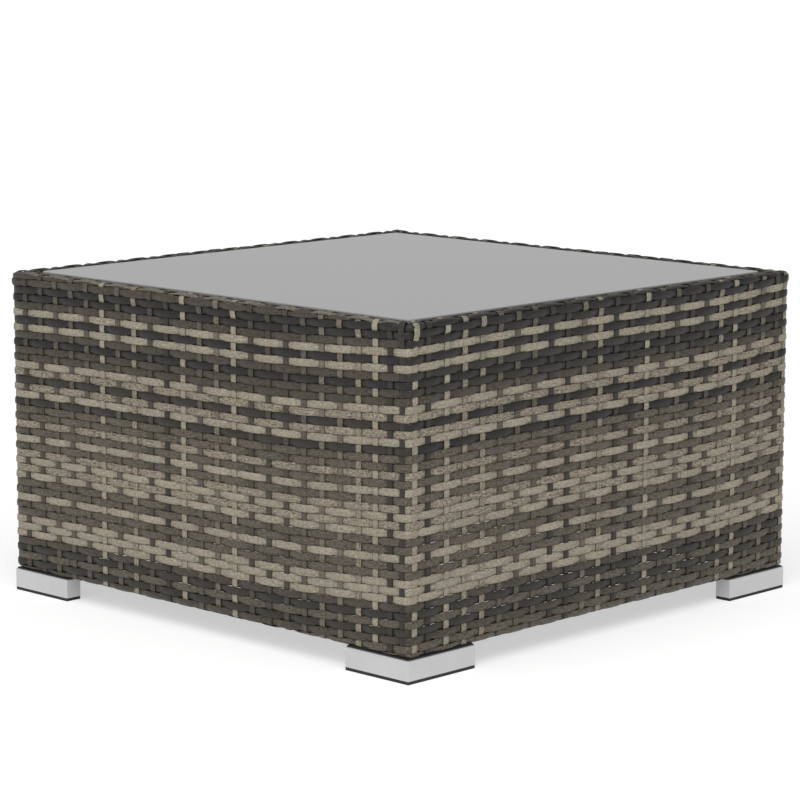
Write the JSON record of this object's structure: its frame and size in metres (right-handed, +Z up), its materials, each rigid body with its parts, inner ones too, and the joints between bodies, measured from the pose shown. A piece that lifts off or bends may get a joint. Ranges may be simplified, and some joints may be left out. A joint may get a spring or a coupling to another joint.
{
  "type": "coffee table",
  "caption": "Square low table: woven strand sides over a welded tube frame, plaited rim, loose glass top and L-shaped metal corner feet.",
  "frame": {"origin": "on the floor, under the middle of the table", "axes": "+Z up, +X to the right and +Y to the back of the square table, sides along X and Y"},
  "size_m": [0.604, 0.604, 0.354],
  "materials": {
    "weave": "flat round-edged polyethylene strand, mottled dark taupe to beige-grey, low sheen",
    "rim": "plaited polyethylene strand, mottled, low sheen",
    "glass": "tempered glass, back-painted light grey, polished edges",
    "bumper": "translucent silicone",
    "frame": "dark powder coat on welded steel tube",
    "fastener": "zinc plated",
    "spacer": "black packer sheet",
    "pad": "black moulded plastic",
    "foot": "satin anodised aluminium casting"
  },
  "bodies": {
    "table": {"bottom_rail_back": "frame", "bottom_rail_front": "frame", "bottom_rail_left": "frame", "bottom_rail_right": "frame", "corner_post_back_left": "frame", "corner_post_back_right": "frame", "corner_post_front_left": "frame", "corner_post_front_right": "frame", "cross_brace_back": "frame", "cross_brace_front": "frame", "foot_back_left": "foot", "foot_back_right": "foot", "foot_front_left": "foot", "foot_front_right": "foot", "foot_plate_back_left": "frame", "foot_plate_back_right": "frame", "foot_plate_front_left": "frame", "foot_plate_front_right": "frame", "foot_screws": "fastener", "foot_spacer_back_left": "spacer", "foot_spacer_back_right": "spacer", "foot_spacer_front_left": "spacer", "foot_spacer_front_right": "spacer", "glass_bumpers": "bumper", "glass_ledge_back": "frame", "glass_ledge_front": "frame", "glass_ledge_left": "frame", "glass_ledge_right": "frame", "glide_pad_back_left": "pad", "glide_pad_back_right": "pad", "glide_pad_front_left": "pad", "glide_pad_front_right": "pad", "hem_strip_back": "weave", "hem_strip_front": "weave", "hem_strip_left": "weave", "hem_strip_right": "weave", "mid_stile_back": "frame", "mid_stile_front": "frame", "mid_stile_left": "frame", "mid_stile_right": "frame", "rim_wrap_back": "rim", "rim_wrap_front": "rim", "rim_wrap_left": "rim", "rim_wrap_right": "rim", "rivet_nuts": "fastener", "top_rail_back": "frame", "top_rail_front": "frame", "top_rail_left": "frame", "top_rail_right": "frame", "woven_panel_back": "weave", "woven_panel_front": "weave", "woven_panel_left": "weave", "woven_panel_right": "weave"},
    "glass": {"glass_top": "glass"}
  },
  "joints": [
    {"name": "glass_lift", "type": "slide", "parent": "table", "child": "glass", "axis": [0, 0, 1], "range_m": [0, 0.06]}
  ]
}
